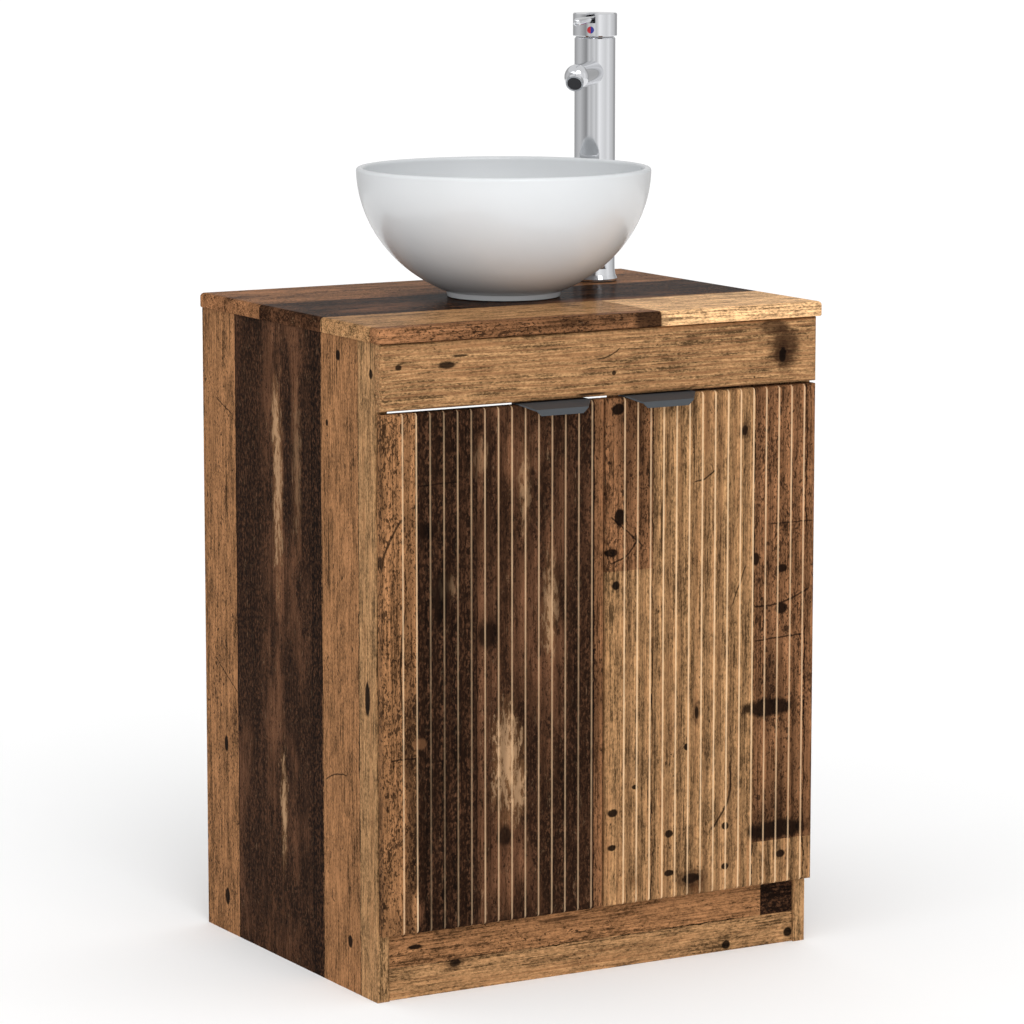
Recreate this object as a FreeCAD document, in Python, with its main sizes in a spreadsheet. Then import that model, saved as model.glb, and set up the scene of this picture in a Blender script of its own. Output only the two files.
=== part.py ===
import FreeCAD, Part
import math
import os
import re

import Sketcher

# Bathroom vanity cabinet: an open-backed carcass with two fluted doors, a worktop,
# a vessel basin with a push-open waste and a tall single-lever tap.
# +X is to the right, -Y is the front, +Z is up, and Z = 0 is the floor.

# ---------------------------------------------------------------- driving sizes (mm)
SIZES = {
    # carcass
    "cabinet_width": 600, "cabinet_depth": 450, "carcass_height": 780, "board": 16,
    "plinth_height": 80, "plinth_recess": 3.6, "front_rail_height": 70,
    "rear_rail_height": 80, "shelf_level": 400, "shelf_front_setback": 30,
    "shelf_rear_setback": 12, "shelf_side_play": 1.5,
    # worktop
    "top_thickness": 18, "top_side_overhang": 5, "top_front_overhang": 20,
    "top_rear_setback": 2, "top_edge_radius": 5, "top_corner_radius": 4,
    # fronts
    "front_thickness": 16, "front_radius": 5, "front_rear_radius": 2, "door_gap": 1.5,
    "apron_height": 78, "apron_top_gap": 1, "reveal": 3, "door_foot_gap": 2,
    "door_side_inset": 1, "door_meeting_gap": 2,
    # flutes: a long falling face, a valley, a short rising face and a steep lip
    "flute_count": 16, "flute_pitch": 18.2, "flute_first": 8, "flute_land": 0.6,
    "flute_fall": 10.4, "flute_rise": 5.8, "flute_depth": 1.65, "flute_lip": 0.9,
    # folded tab pulls on the doors' top edges
    "pull_sheet": 1.5, "pull_width": 97, "pull_crease_width": 70, "pull_lip_width": 57,
    "pull_reach": 18, "pull_drop": 6, "pull_lip": 6, "pull_flange": 20,
    "pull_centre_left": 69, "pull_centre_right": 75, "pull_screw_spacing": 64,
    # single-axis cup hinges
    "hinge_axis_inset": 5.2, "hinge_axis_depth": 7.5, "hinge_end_distance": 90,
    "cup_diameter": 35, "cup_edge": 2, "cup_depth": 11.5, "cup_wall": 0.8,
    "cup_flange": 0.6, "knuckle_radius": 1.7, "knuckle_width": 7, "hinge_pin_radius": 1.2,
    "hinge_play": 0.05, "arm_width": 9, "arm_sheet": 1.7, "arm_web": 2,
    "arm_web_clearance": 1, "arm_length": 50, "plate_thickness": 4,
    # fasteners
    "screw_radius": 1.9, "screw_head_radius": 3.7, "screw_head_height": 2,
    "cam_radius": 7.5, "cam_height": 12.5, "cam_distance": 34, "cam_bolt_radius": 3,
    "cam_play": 0.2, "cam_bolt_grip": 10, "cam_inset": 60, "screw_grip": 10, "hole_pitch": 32,
    "plate_row": 37, "cup_screw_spacing": 48, "shelf_pin_radius": 2.5, "shelf_pin_length": 16,
    "bumper_radius": 4, "bumper_thickness": 1.4, "block_size": 20, "block_length": 30, "block_wall": 3,
    "block_setback": 110, "pin_inset": 25, "rail_cam_drop": 25, "apron_screw_drop": 35,
    # wall brackets
    "bracket_sheet": 2, "bracket_leg": 32, "bracket_height": 40, "bracket_drop": 130,
    "wall_screw_radius": 2.75,
    # basin
    "basin_radius": 180, "basin_height": 157, "basin_wall": 9, "basin_bowl_depth": 164,
    "basin_floor": 12, "foot_radius": 70, "foot_height": 9, "foot_hollow_radius": 56,
    "foot_hollow_depth": 4, "basin_seal": 1, "basin_behind_front": 225,
    "foot_draft": 1, "rim_radius": 3.8,
    # waste
    "drain_radius": 22.5, "flange_radius": 31.5, "flange_height": 2, "waste_radius": 20.95,
    "waste_bore": 17, "waste_length": 95, "plug_radius": 29, "plug_height": 5,
    "plug_stem": 3.95, "waste_nut_height": 9, "waste_seal_height": 4, "waste_tail": 47,
    "neck_radius": 21.3, "waste_nut_size": 31.5, "bridge_width": 12, "bridge_height": 8,
    "seat_depth": 1.5, "stem_length": 38, "flange_play": 0.5,
    # tap
    "tap_x": 193, "tap_behind_front": 331, "tap_turn": 42.4, "tap_radius": 25.75,
    "tap_body_height": 306.5, "tap_skirt_radius": 29, "tap_skirt_height": 15,
    "tap_seal": 1.5, "tap_hole_radius": 17.5, "cap_radius": 27.8, "cap_height": 29,
    "cap_gap": 1.5, "cap_wall": 2.5, "cap_notch": 12, "notch_sill": 17,
    "spout_level": 263, "spout_radius": 15.3, "spout_reach": 113, "nozzle_drop": 30,
    "nozzle_radius": 11, "nozzle_length": 16, "aerator_radius": 8.9, "aerator_length": 6,
    "lever_level": 21.8, "lever_reach": 112, "lever_root": 3.3, "lever_tip": 5,
    "lever_rise": 9, "lever_hub_radius": 7.5, "cartridge_neck": 12,
    "cartridge_radius": 19.7, "cartridge_bore": 20, "cartridge_depth": 36,
    "stud_radius": 4, "stud_length": 70, "inlet_radius": 4.5, "inlet_depth": 12,
    "inlet_spacing": 18, "dot_radius": 4.4, "dot_height": 8.5, "dot_depth": 2,
    "inlet_behind": 4, "stud_ahead": 9, "horseshoe_sheet": 3, "stud_nut_size": 7.5, "stud_nut_height": 6.5,
}

# ------------------------------------------------------ places worked out from them
PLACES = {
    "front_reach": "door_gap + front_thickness + pull_reach",
    "front_y": "(front_reach - cabinet_depth) / 2",
    "back_y": "front_y + cabinet_depth",
    "half_width": "cabinet_width / 2",
    "inner_x": "half_width - board",
    "inner_width": "cabinet_width - 2 * board",
    "top_z": "carcass_height + top_thickness",
    "apron_bottom": "carcass_height - apron_top_gap - apron_height",
    "door_top": "apron_bottom - reveal",
    "door_bottom": "plinth_height + door_foot_gap",
    "door_height": "door_top - door_bottom",
    "door_width": "(cabinet_width - 2 * door_side_inset - door_meeting_gap) / 2",
    "door_back_y": "front_y - door_gap",
    "bottom_top": "plinth_height + board",
    "bracket_level": "carcass_height - bracket_drop",
    "rail_cam_level": "carcass_height - rail_cam_drop",
    "cartridge_top": "tap_body_height + 3",
    "cartridge_foot": "tap_body_height - cartridge_depth",
    "waste_foot": "basin_z + basin_floor + flange_height - waste_length",
    "bridge_z": "basin_z + basin_floor - 22",
    "disc_z": "basin_z + basin_floor + flange_height + 0.4",
    "apron_screw_level": "carcass_height - apron_screw_drop",
    "hinge_x": "half_width - door_side_inset - hinge_axis_inset",
    "hinge_y": "door_back_y - hinge_axis_depth",
    "hinge_high": "door_top - hinge_end_distance",
    "hinge_low": "door_bottom + hinge_end_distance",
    "cup_radius": "cup_diameter / 2",
    "cup_x": "half_width - door_side_inset - cup_edge - cup_radius",
    "web_offset": "hinge_x - inner_x + arm_web_clearance",
    "basin_y": "front_y + basin_behind_front",
    "basin_z": "top_z + basin_seal",
    "tap_y": "front_y + tap_behind_front",
    "cap_z": "tap_body_height + cap_gap",
    "lever_z": "cap_z + lever_level",
}

doc = FreeCAD.newDocument("vanity")
sheet = doc.addObject("Spreadsheet::Sheet", "Sizes")
for row, (alias, value) in enumerate(SIZES.items(), start=1):
    sheet.set("A%d" % row, alias.replace("_", " "))
    sheet.set("B%d" % row, str(value))
    sheet.setAlias("B%d" % row, alias)
doc.recompute()


def formula(text):
    """The expression with every named size and place written out."""
    def swap(match):
        word = match.group(0)
        if word in PLACES:
            return "(" + formula(PLACES[word]) + ")"
        return "Sizes." + word if word in SIZES else word
    return re.sub(r"[A-Za-z_]\w*", swap, str(text))


def bind(thing, **expressions):
    for name, text in expressions.items():
        thing.setExpression(name, formula(text))
    return thing


def place(thing, at, turn=None):
    """Put a thing at three expressions, turned by ((axis), angle expression)."""
    if turn:
        axis, angle = turn
        thing.Placement = FreeCAD.Placement(FreeCAD.Vector(), FreeCAD.Rotation(FreeCAD.Vector(*axis), 1))
        thing.setExpression("Placement.Rotation.Angle", formula(angle))
    for letter, text in zip("xyz", at):
        thing.setExpression("Placement.Base." + letter, formula(text))
    return thing


# --------------------------------------------------------------- primitives, booleans
serial = [0]


def new(kind, stem):
    serial[0] += 1
    return doc.addObject(kind, "%s_%d" % (stem, serial[0]))


def box(at, size):
    return place(bind(new("Part::Box", "box"), Length=size[0], Width=size[1], Height=size[2]), at)


def centred_box(at, size):
    """A box whose middle is at a point."""
    return box(["%s - (%s) / 2" % pair for pair in zip(at, size)], size)


TURNS = {"+Z": None, "-Z": ((1, 0, 0), 180), "+X": ((0, 1, 0), 90), "-X": ((0, 1, 0), -90),
         "+Y": ((1, 0, 0), -90), "-Y": ((1, 0, 0), 90)}


def cylinder(at, radius, height, along="+Z"):
    return place(bind(new("Part::Cylinder", "cylinder"), Radius=radius, Height=height), at, TURNS[along])


def cone(at, first, second, height, along="+Z"):
    thing = bind(new("Part::Cone", "cone"), Radius1=first, Radius2=second, Height=height)
    return place(thing, at, TURNS[along])


def sphere(at, radius):
    return place(bind(new("Part::Sphere", "sphere"), Radius=radius), at)


def hexagon(at, radius, height):
    thing = new("Part::Prism", "hexagon")
    thing.Polygon = 6
    return place(bind(thing, Circumradius=radius, Height=height), at)


def fuse(*things):
    joined = new("Part::MultiFuse", "fuse")
    joined.Shapes = list(things)
    return joined


def cut(base, *tools):
    result = new("Part::Cut", "cut")
    result.Base = base
    result.Tool = tools[0] if len(tools) == 1 else fuse(*tools)
    return result


def group(things):
    bundle = new("Part::Compound", "group")
    bundle.Links = list(things)
    return bundle


# ------------------------------------------------------------------ sketched features
LEAST_CUT = 0.1     # mm3: a pocket that takes less than this has cut nothing


def plane(body, role):
    return next(f for f in body.Origin.OriginFeatures if f.Role == role)


def sketch(body, role, offset=None):
    drawing = body.newObject("Sketcher::SketchObject", "sketch_%d" % (len(doc.Objects)))
    drawing.AttachmentSupport = [(plane(body, role), "")]
    drawing.MapMode = "FlatFace"
    if offset is not None:
        drawing.setExpression("AttachmentOffset.Base.z", formula(offset))
    return drawing


def pin_point(drawing, geometry, point, u, v):
    for kind, text in (("DistanceX", u), ("DistanceY", v)):
        index = drawing.addConstraint(Sketcher.Constraint(kind, -1, 1, geometry, point, 1.0))
        drawing.setExpression("Constraints[%d]" % index, formula(text))


def polygon(drawing, points):
    """A closed outline through points given as pairs of expressions."""
    count = len(points)
    ring = [FreeCAD.Vector(math.cos(2 * math.pi * i / count), math.sin(2 * math.pi * i / count), 0)
            for i in range(count)]
    first = drawing.GeometryCount
    for i in range(count):
        drawing.addGeometry(Part.LineSegment(ring[i], ring[(i + 1) % count]), False)
    for i in range(count):
        follower = first + (i + 1) % count
        drawing.addConstraint(Sketcher.Constraint("Coincident", first + i, 2, follower, 1))
    for i, (u, v) in enumerate(points):
        pin_point(drawing, first + i, 1, u, v)
    return drawing


def rectangle(drawing, u0, v0, u1, v1):
    return polygon(drawing, [(u0, v0), (u1, v0), (u1, v1), (u0, v1)])


def circle(drawing, u, v, radius):
    ring = drawing.addGeometry(Part.Circle(FreeCAD.Vector(0, 0, 0), FreeCAD.Vector(0, 0, 1), 1), False)
    pin_point(drawing, ring, 3, u, v)
    index = drawing.addConstraint(Sketcher.Constraint("Radius", ring, 1.0))
    drawing.setExpression("Constraints[%d]" % index, formula(radius))
    return drawing


def body_at(at, turn=None):
    serial[0] += 1
    return place(doc.addObject("PartDesign::Body", "body_%d" % serial[0]), at, turn)


def feature(body, kind, profile, **sizes):
    step = body.newObject("PartDesign::" + kind, "%s_%d" % (kind.lower(), len(doc.Objects)))
    step.Profile = profile
    bind(step, **sizes)
    return step


def pad(body, profile, length):
    step = feature(body, "Pad", profile, Length=length)
    doc.recompute()
    return step


def pocket(body, profile, depth):
    """A pocket cut into the solid; its side is turned if it cuts nothing."""
    whole = body.Shape.Volume - LEAST_CUT
    step = feature(body, "Pocket", profile, Length=depth)
    doc.recompute()
    if body.Shape.Volume > whole:
        step.Reversed = True
        doc.recompute()
    if body.Shape.Volume > whole:
        raise RuntimeError("pocket %s cuts nothing" % step.Name)
    return step


def turned(at, profile, turn=None):
    """A body revolved about its own Z axis from (radius, height) pairs."""
    body = body_at(at, turn)
    drawing = polygon(sketch(body, "XZ_Plane"), profile)
    step = feature(body, "Revolution", drawing)
    step.ReferenceAxis = (drawing, ["V_Axis"])
    step.Angle = 360
    doc.recompute()
    return body


def round_edges(body, radius, wanted):
    """A fillet on the edges of the body's tip that the test accepts."""
    tip = body.Tip
    names = ["Edge%d" % (i + 1) for i, edge in enumerate(tip.Shape.Edges) if wanted(edge)]
    if not names:
        raise RuntimeError("no edges to round on " + body.Label)
    step = body.newObject("PartDesign::Fillet", "fillet_%d" % len(doc.Objects))
    step.Base = (tip, names)
    bind(step, Radius=radius)
    doc.recompute()
    return step


def lies_at(edge, letter, level):
    """Whether the whole edge lies in the plane where one coordinate has this value."""
    limits = edge.BoundBox
    ends = getattr(limits, letter + "Min"), getattr(limits, letter + "Max")
    return all(abs(end - level) < 1e-5 for end in ends)


nodes = {}


def node(name, thing):
    """Give a finished sub-part its name."""
    if name in nodes:
        raise RuntimeError("two sub-parts are called " + name)
    thing.Label = name
    nodes[name] = thing
    return thing


SIDES = (("left", -1), ("right", 1))


def outward_x(sign):
    """The way from the middle of the cabinet towards one side."""
    return "+X" if sign > 0 else "-X"


def inward_x(sign):
    return outward_x(-sign)


# ------------------------------------------------------------------------- fasteners
def screw(at, length, along, head_height="screw_head_height"):
    """A flat-head wood screw; its head's outer face is at the given point."""
    head = cylinder(at, "screw_head_radius", head_height, along)
    shank = cylinder(at, "screw_radius", length, along)
    return fuse(head, shank)


def screw_hole(at, length, along):
    return cylinder(at, "screw_radius", length, along)


# --------------------------------------------------------------------------- carcass
def cam_points():
    """Every cam: side, board, its Y and Z, and the side of the board it is let into."""
    for side, sign in SIDES:
        yield side, sign, "bottom_panel", "front_y + cam_inset", "plinth_height + board / 2", "-Z"
        yield side, sign, "bottom_panel", "back_y - cam_inset", "plinth_height + board / 2", "-Z"
        yield side, sign, "front_rail", "front_y + board / 2", "rail_cam_level", "+Y"
        yield side, sign, "rear_top_rail", "back_y - board / 2", "rail_cam_level", "-Y"
        yield side, sign, "rear_bottom_rail", "back_y - board / 2", "bottom_top + rear_rail_height / 2", "-Y"


def cam_at(sign, y, z, face):
    """The open end of a cam's pocket: its point and the way into the board."""
    x = "%d * (inner_x - cam_distance)" % sign
    if face == "-Z":
        return (x, y, "%s - board / 2" % z), "+Z"
    if face == "+Y":
        return (x, "%s + board / 2" % y, z), "-Y"
    return (x, "%s - board / 2" % y, z), "+Y"


def cam_holes(board_name):
    """Pockets for the cams and bores for their bolts in one board."""
    for side, sign, owner, y, z, face in cam_points():
        if owner == board_name:
            point, inward = cam_at(sign, y, z, face)
            yield cylinder(point, "cam_radius + cam_play", "cam_height + cam_play", inward)
            bore = ("%d * inner_x" % sign, y, z)
            yield cylinder(bore, "cam_bolt_radius + cam_play", "cam_distance", inward_x(sign))


def bolt_holes(side_name):
    for side, sign, owner, y, z, face in cam_points():
        if side == side_name:
            yield cylinder(("%d * inner_x" % sign, y, z), "cam_bolt_radius", "cam_bolt_grip", outward_x(sign))


SHELF_ROWS = [("shelf_level - shelf_pin_radius + %d * hole_pitch" % step) for step in (-2, -1, 0, 1, 2)]
SHELF_COLUMNS = ("front_y + shelf_front_setback + pin_inset", "back_y - shelf_rear_setback - pin_inset")
BLOCK_PLACES = ("front_y + block_setback", "back_y - block_setback")
BRACKET_SCREWS = ("bracket_level + bracket_height / 4", "bracket_level + 3 * bracket_height / 4")
APRON_SCREWS = ["%.2f * inner_x" % share for share in (-0.85, -0.3, 0.3, 0.85)]
PLATE_SCREWS = ("-hole_pitch / 2", "hole_pitch / 2")


def make_side_panels():
    for side, sign in SIDES:
        face = "%d * inner_x" % sign
        wall = box(("inner_x" if sign > 0 else "-half_width", "front_y", "0"),
                   ("board", "cabinet_depth", "carcass_height"))
        holes = list(bolt_holes(side))
        holes += [cylinder((face, y, z), "shelf_pin_radius", "shelf_pin_length / 2", outward_x(sign))
                  for y in SHELF_COLUMNS for z in SHELF_ROWS]
        holes += [screw_hole((face, "front_y + plate_row", "%s + %s" % (z, step)), "screw_grip",
                             outward_x(sign)) for name, z in HINGE_LEVELS for step in PLATE_SCREWS]
        holes += [screw_hole((face, "back_y - bracket_leg / 2", z), "screw_grip", outward_x(sign))
                  for z in BRACKET_SCREWS]
        holes += [screw_hole((face, y, "carcass_height - block_size / 2"), "screw_grip", outward_x(sign))
                  for y in BLOCK_PLACES]
        node("side_panel_" + side, cut(wall, *holes))


def make_boards():
    bottom = box(("-inner_x", "front_y", "plinth_height"), ("inner_width", "cabinet_depth", "board"))
    node("bottom_panel", cut(bottom, *cam_holes("bottom_panel")))
    front = box(("-inner_x", "front_y", "carcass_height - front_rail_height"),
                ("inner_width", "board", "front_rail_height"))
    apron_bores = [screw_hole((x, "front_y + board", "apron_screw_level"), "board", "-Y")
                   for x in APRON_SCREWS]
    node("front_rail", cut(front, *cam_holes("front_rail"), *apron_bores))
    for name, z in (("rear_top_rail", "carcass_height - rear_rail_height"),
                    ("rear_bottom_rail", "bottom_top")):
        rail = box(("-inner_x", "back_y - board", z), ("inner_width", "board", "rear_rail_height"))
        node(name, cut(rail, *cam_holes(name)))
    shelf = box(("-inner_x + shelf_side_play", "front_y + shelf_front_setback", "shelf_level"),
                ("inner_width - 2 * shelf_side_play",
                 "cabinet_depth - shelf_front_setback - shelf_rear_setback", "board"))
    node("shelf", shelf)
    plinth = box(("-inner_x", "front_y + plinth_recess", "0"), ("inner_width", "board", "plinth_height"))
    node("plinth_board", plinth)


def make_worktop():
    body = body_at(("-half_width - top_side_overhang", "front_y - top_front_overhang", "carcass_height"))
    size_x = "cabinet_width + 2 * top_side_overhang"
    size_y = "top_front_overhang + cabinet_depth - top_rear_setback"
    pad(body, rectangle(sketch(body, "XY_Plane"), "0", "0", size_x, size_y), "top_thickness")
    round_edges(body, "top_corner_radius", lambda e: e.BoundBox.ZLength > 1)
    round_edges(body, "top_edge_radius", lambda e: lies_at(e, "Z", SIZES["top_thickness"]))
    round_edges(body, "front_rear_radius", lambda e: lies_at(e, "Z", 0.0))
    holes = sketch(body, "XY_Plane")
    origin_x, origin_y = "half_width + top_side_overhang", "top_front_overhang"
    circle(holes, origin_x, origin_y + " + basin_behind_front", "drain_radius")
    circle(holes, origin_x + " + tap_x", origin_y + " + tap_behind_front", "tap_hole_radius")
    pocket(body, holes, "top_thickness")
    node("top_board", body)


# ---------------------------------------------------------------------------- fronts
HINGE_LEVELS = (("upper", "hinge_high"), ("lower", "hinge_low"))
CUP_SCREWS = ("-cup_screw_spacing / 2", "cup_screw_spacing / 2")


def front_slab(at, width, height):
    """A slab that stands in the XZ plane with rounded front edges and eased back edges."""
    body = body_at(at)
    pad(body, rectangle(sketch(body, "XZ_Plane"), "0", "0", width, height), "front_thickness")
    round_edges(body, "front_radius", lambda e: lies_at(e, "Y", -SIZES["front_thickness"]))
    round_edges(body, "front_rear_radius", lambda e: lies_at(e, "Y", 0.0))
    return body


def make_apron():
    body = front_slab(("-half_width", "front_y", "apron_bottom"), "cabinet_width", "apron_height")
    pilots = sketch(body, "XZ_Plane")
    for x in APRON_SCREWS:
        circle(pilots, "half_width + " + x, "apron_screw_level - apron_bottom", "screw_radius")
    pocket(body, pilots, "screw_grip")
    node("apron_panel", body)


def flute(body):
    """The groove's outline, seen from below, ends at its steep lip; it is repeated along X."""
    drawing = sketch(body, "XY_Plane")
    start = "flute_first - flute_pitch"
    face, clear = "-front_thickness", "-front_thickness - 3"
    polygon(drawing, [
        (start + " + flute_land", clear), (start + " + flute_land", face),
        (start + " + flute_land + flute_fall", face + " + flute_depth"),
        (start + " + flute_land + flute_fall + flute_rise", face + " + flute_lip"),
        ("flute_first", face), ("flute_first", clear)])
    step = pocket(body, drawing, "door_height")
    rows = body.newObject("PartDesign::LinearPattern", "flutes_%d" % len(doc.Objects))
    rows.Originals = [step]
    rows.Direction = (drawing, ["H_Axis"])
    rows.Mode = "Spacing"
    bind(rows, Offset="flute_pitch", Occurrences="flute_count")
    body.Tip = rows
    doc.recompute()


def make_doors():
    for side, sign in SIDES:
        edge_x = "-half_width + door_side_inset" if sign < 0 else "door_meeting_gap / 2"
        body = front_slab((edge_x, "door_back_y", "door_bottom"), "door_width", "door_height")
        flute(body)
        cups = sketch(body, "XZ_Plane")
        screws = sketch(body, "XZ_Plane")
        cup = "%d * cup_x - (%s)" % (sign, edge_x)
        for name, z in HINGE_LEVELS:
            circle(cups, cup, z + " - door_bottom", "cup_radius + hinge_play")
            for step in CUP_SCREWS:
                circle(screws, cup, "%s - door_bottom + (%s)" % (z, step), "screw_radius")
        for step in PULL_SCREWS:
            circle(screws, "%s + (%s) - (%s)" % (pull_x(side, sign), step, edge_x),
                   "door_height - pull_flange / 2", "screw_radius")
        pocket(body, cups, "cup_depth + hinge_play")
        pocket(body, screws, "screw_grip")
        node("door_" + side, body)


PULL_SCREWS = ("-pull_screw_spacing / 2", "pull_screw_spacing / 2")


def pull_x(side, sign):
    return "%d * (door_meeting_gap / 2 + pull_centre_%s)" % (sign, side)


def make_pulls():
    for side, sign in SIDES:
        middle = pull_x(side, sign)
        body = body_at((middle + " - pull_width / 2", "door_back_y", "door_top"))
        fold_y, lip_y = "-front_thickness", "-front_thickness - pull_reach"
        drawing = polygon(sketch(body, "YZ_Plane"), [
            ("pull_sheet", "-pull_flange"), ("pull_sheet", "pull_sheet"), (fold_y, "pull_sheet"),
            (lip_y, "pull_sheet - pull_drop"), (lip_y, "-pull_drop - pull_lip"),
            (lip_y + " + pull_sheet", "-pull_drop - pull_lip"), (lip_y + " + pull_sheet", "-pull_drop"),
            (fold_y, "0"), ("0", "0"), ("0", "-pull_flange")])
        pad(body, drawing, "pull_width")
        plan = sketch(body, "XY_Plane", "pull_sheet")
        step_x = "(pull_width - pull_crease_width) / 2"
        far = lip_y + " - 5"
        for across in ("%s", "pull_width - (%s)"):
            edge = [("-5", fold_y), ("0", fold_y), (step_x, lip_y), (step_x, far), ("-5", far)]
            polygon(plan, [(across % x, y) for x, y in edge])
        pocket(body, plan, "pull_sheet + pull_drop + pull_lip + 5")
        front = sketch(body, "XZ_Plane", "front_thickness + pull_reach")
        narrow = "(pull_width - pull_lip_width) / 2"
        low = "-pull_drop - pull_lip"
        for across in ("%s", "pull_width - (%s)"):
            edge = [(step_x + " - 3", "-pull_drop"), (step_x, "-pull_drop"), (narrow, low),
                    (narrow, low + " - 2"), (step_x + " - 3", low + " - 2")]
            polygon(front, [(across % x, z) for x, z in edge])
        pocket(body, front, "2 * pull_sheet")
        holes = sketch(body, "XZ_Plane", "-pull_sheet")
        for step in PULL_SCREWS:
            circle(holes, "pull_width / 2 + (%s)" % step, "-pull_flange / 2", "screw_radius")
        pocket(body, holes, "pull_sheet")
        node("pull_" + side, body)
        screws = [screw(("%s + (%s)" % (middle, step), "door_back_y + pull_sheet + screw_head_height",
                         "door_top - pull_flange / 2"), "screw_grip + pull_sheet + screw_head_height", "-Y")
                  for step in PULL_SCREWS]
        node("pull_screws_" + side, group(screws))


def make_bumpers():
    for side, sign in SIDES:
        over_edge = "%d * (inner_x + bumper_radius + 1)" % sign
        spots = ((over_edge, "door_top - 3 * bumper_radius"), (over_edge, "(hinge_high + hinge_low) / 2"),
                 ("%d * 5 * bumper_radius" % sign, "door_bottom + 2 * bumper_radius"))
        dots = [cylinder((x, "door_back_y", z), "bumper_radius", "bumper_thickness", "+Y") for x, z in spots]
        node("door_bumpers_" + side, group(dots))


# ---------------------------------------------------------------------------- hinges
def make_hinges():
    plate_screws = []
    for side, sign in SIDES:
        pins, cup_screws = [], []
        for name, z in HINGE_LEVELS:
            node("hinge_cup_%s_%s" % (side, name), hinge_cup(sign, z))
            node("hinge_arm_%s_%s" % (side, name), hinge_arm(sign, z))
            node("hinge_plate_%s_%s" % (side, name), hinge_plate(sign, z))
            pins.append(hinge_pin(sign, z))
            for step in CUP_SCREWS:
                point = ("%d * cup_x" % sign, "door_back_y + cup_flange", "%s + (%s)" % (z, step))
                cup_screws.append(screw(point, "screw_grip + cup_flange", "-Y", "cup_flange"))
            for step in PLATE_SCREWS:
                point = ("%d * (inner_x - plate_thickness / 2 - screw_head_height)" % sign,
                         "front_y + plate_row", "%s + (%s)" % (z, step))
                length = "screw_grip + plate_thickness / 2 + screw_head_height"
                plate_screws.append(screw(point, length, outward_x(sign)))
        node("hinge_pins_" + side, group(pins))
        node("cup_screws_" + side, group(cup_screws))
    node("hinge_plate_screws", group(plate_screws))


def pin_half_length():
    """Half the chord of the cup's outside at the pin's outer side."""
    off_centre = "(cup_edge + cup_radius - hinge_axis_inset + hinge_pin_radius)"
    return "sqrt(pow(cup_radius; 2) - pow(%s; 2))" % off_centre


def hinge_pin(sign, z):
    half = pin_half_length()
    foot = ("%d * hinge_x" % sign, "hinge_y", "%s - %s" % (z, half))
    return cylinder(foot, "hinge_pin_radius", "2 * " + half)


def hinge_cup(sign, z):
    """A pressed cup with its flange on the door's back face; the pin crosses its outer side."""
    x = "%d * cup_x" % sign
    face = "door_back_y + cup_flange"
    shell = cylinder((x, "door_back_y", z), "cup_radius", "cup_depth", "-Y")
    flange = centred_box((x, "door_back_y + cup_flange / 2", z),
                         ("cup_radius", "cup_flange", "cup_screw_spacing + 4 * screw_head_radius"))
    collar = cylinder((x, face, z), "cup_radius", "cup_flange", "-Y")
    outer_rim = centred_box(("%d * (cup_x + cup_radius)" % sign, "door_back_y + cup_flange / 2", z),
                            ("2 * cup_edge", "cup_flange", "cup_diameter"))
    hollow = cylinder((x, "door_back_y + 2 * cup_flange", z), "cup_radius - cup_wall",
                      "cup_depth - cup_wall + 2 * cup_flange", "-Y")
    seats = [cylinder((x, face, "%s + (%s)" % (z, step)), "screw_head_radius", "cup_flange", "-Y")
             for step in CUP_SCREWS]
    return cut(fuse(shell, flange, cut(collar, outer_rim)), hollow, hinge_pin(sign, z), *seats)


def hinge_arm(sign, z):
    """A goose-neck arm: knuckle in the cup, web past the panel's edge, strip along the plate."""
    x = "%d * hinge_x" % sign
    turn = ((0, 1, 0), 180) if sign > 0 else None
    body = body_at((x, "hinge_y", "%s + %d * arm_width / 2" % (z, sign)), turn)
    web, strip = "web_offset", "web_offset + plate_thickness - arm_web_clearance"
    bend = "hinge_axis_depth + door_gap + 4"
    end = "hinge_axis_depth + door_gap + arm_length"
    outline = [("0", "0"), (web, "0"), (web, bend), (strip, bend + " + 3"), (strip, end),
               (strip + " + arm_web", end), (strip + " + arm_web", bend + " + 2"),
               (web + " + arm_web", bend + " - 1"), (web + " + arm_web", "-arm_sheet"), ("0", "-arm_sheet")]
    pad(body, polygon(sketch(body, "XY_Plane"), outline), "arm_width")
    beside = [centred_box((x, "hinge_y", "%s + %d * (knuckle_width + arm_width) / 2" % (z, way)),
                          ("4 * knuckle_radius", "4 * knuckle_radius", "arm_width")) for way in (-1, 1)]
    knuckle = cylinder((x, "hinge_y", "%s - knuckle_width / 2" % z), "knuckle_radius", "knuckle_width")
    bore = cylinder((x, "hinge_y", "%s - arm_width" % z), "hinge_pin_radius + hinge_play", "2 * arm_width")
    return cut(fuse(cut(body, *beside), knuckle), bore)


def hinge_plate(sign, z):
    """A cruciform mounting plate on the side panel's inner face."""
    rail = centred_box(("%d * (inner_x - plate_thickness / 2)" % sign, "front_y + plate_row - 7", z),
                       ("plate_thickness", "40", "arm_width + 5"))
    wing = centred_box(("%d * (inner_x - plate_thickness / 4)" % sign, "front_y + plate_row", z),
                       ("plate_thickness / 2", "16", "hole_pitch + 18"))
    bores = [screw_hole(("%d * inner_x" % sign, "front_y + plate_row", "%s + (%s)" % (z, step)),
                        "plate_thickness", inward_x(sign)) for step in PLATE_SCREWS]
    return cut(fuse(rail, wing), *bores)


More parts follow.
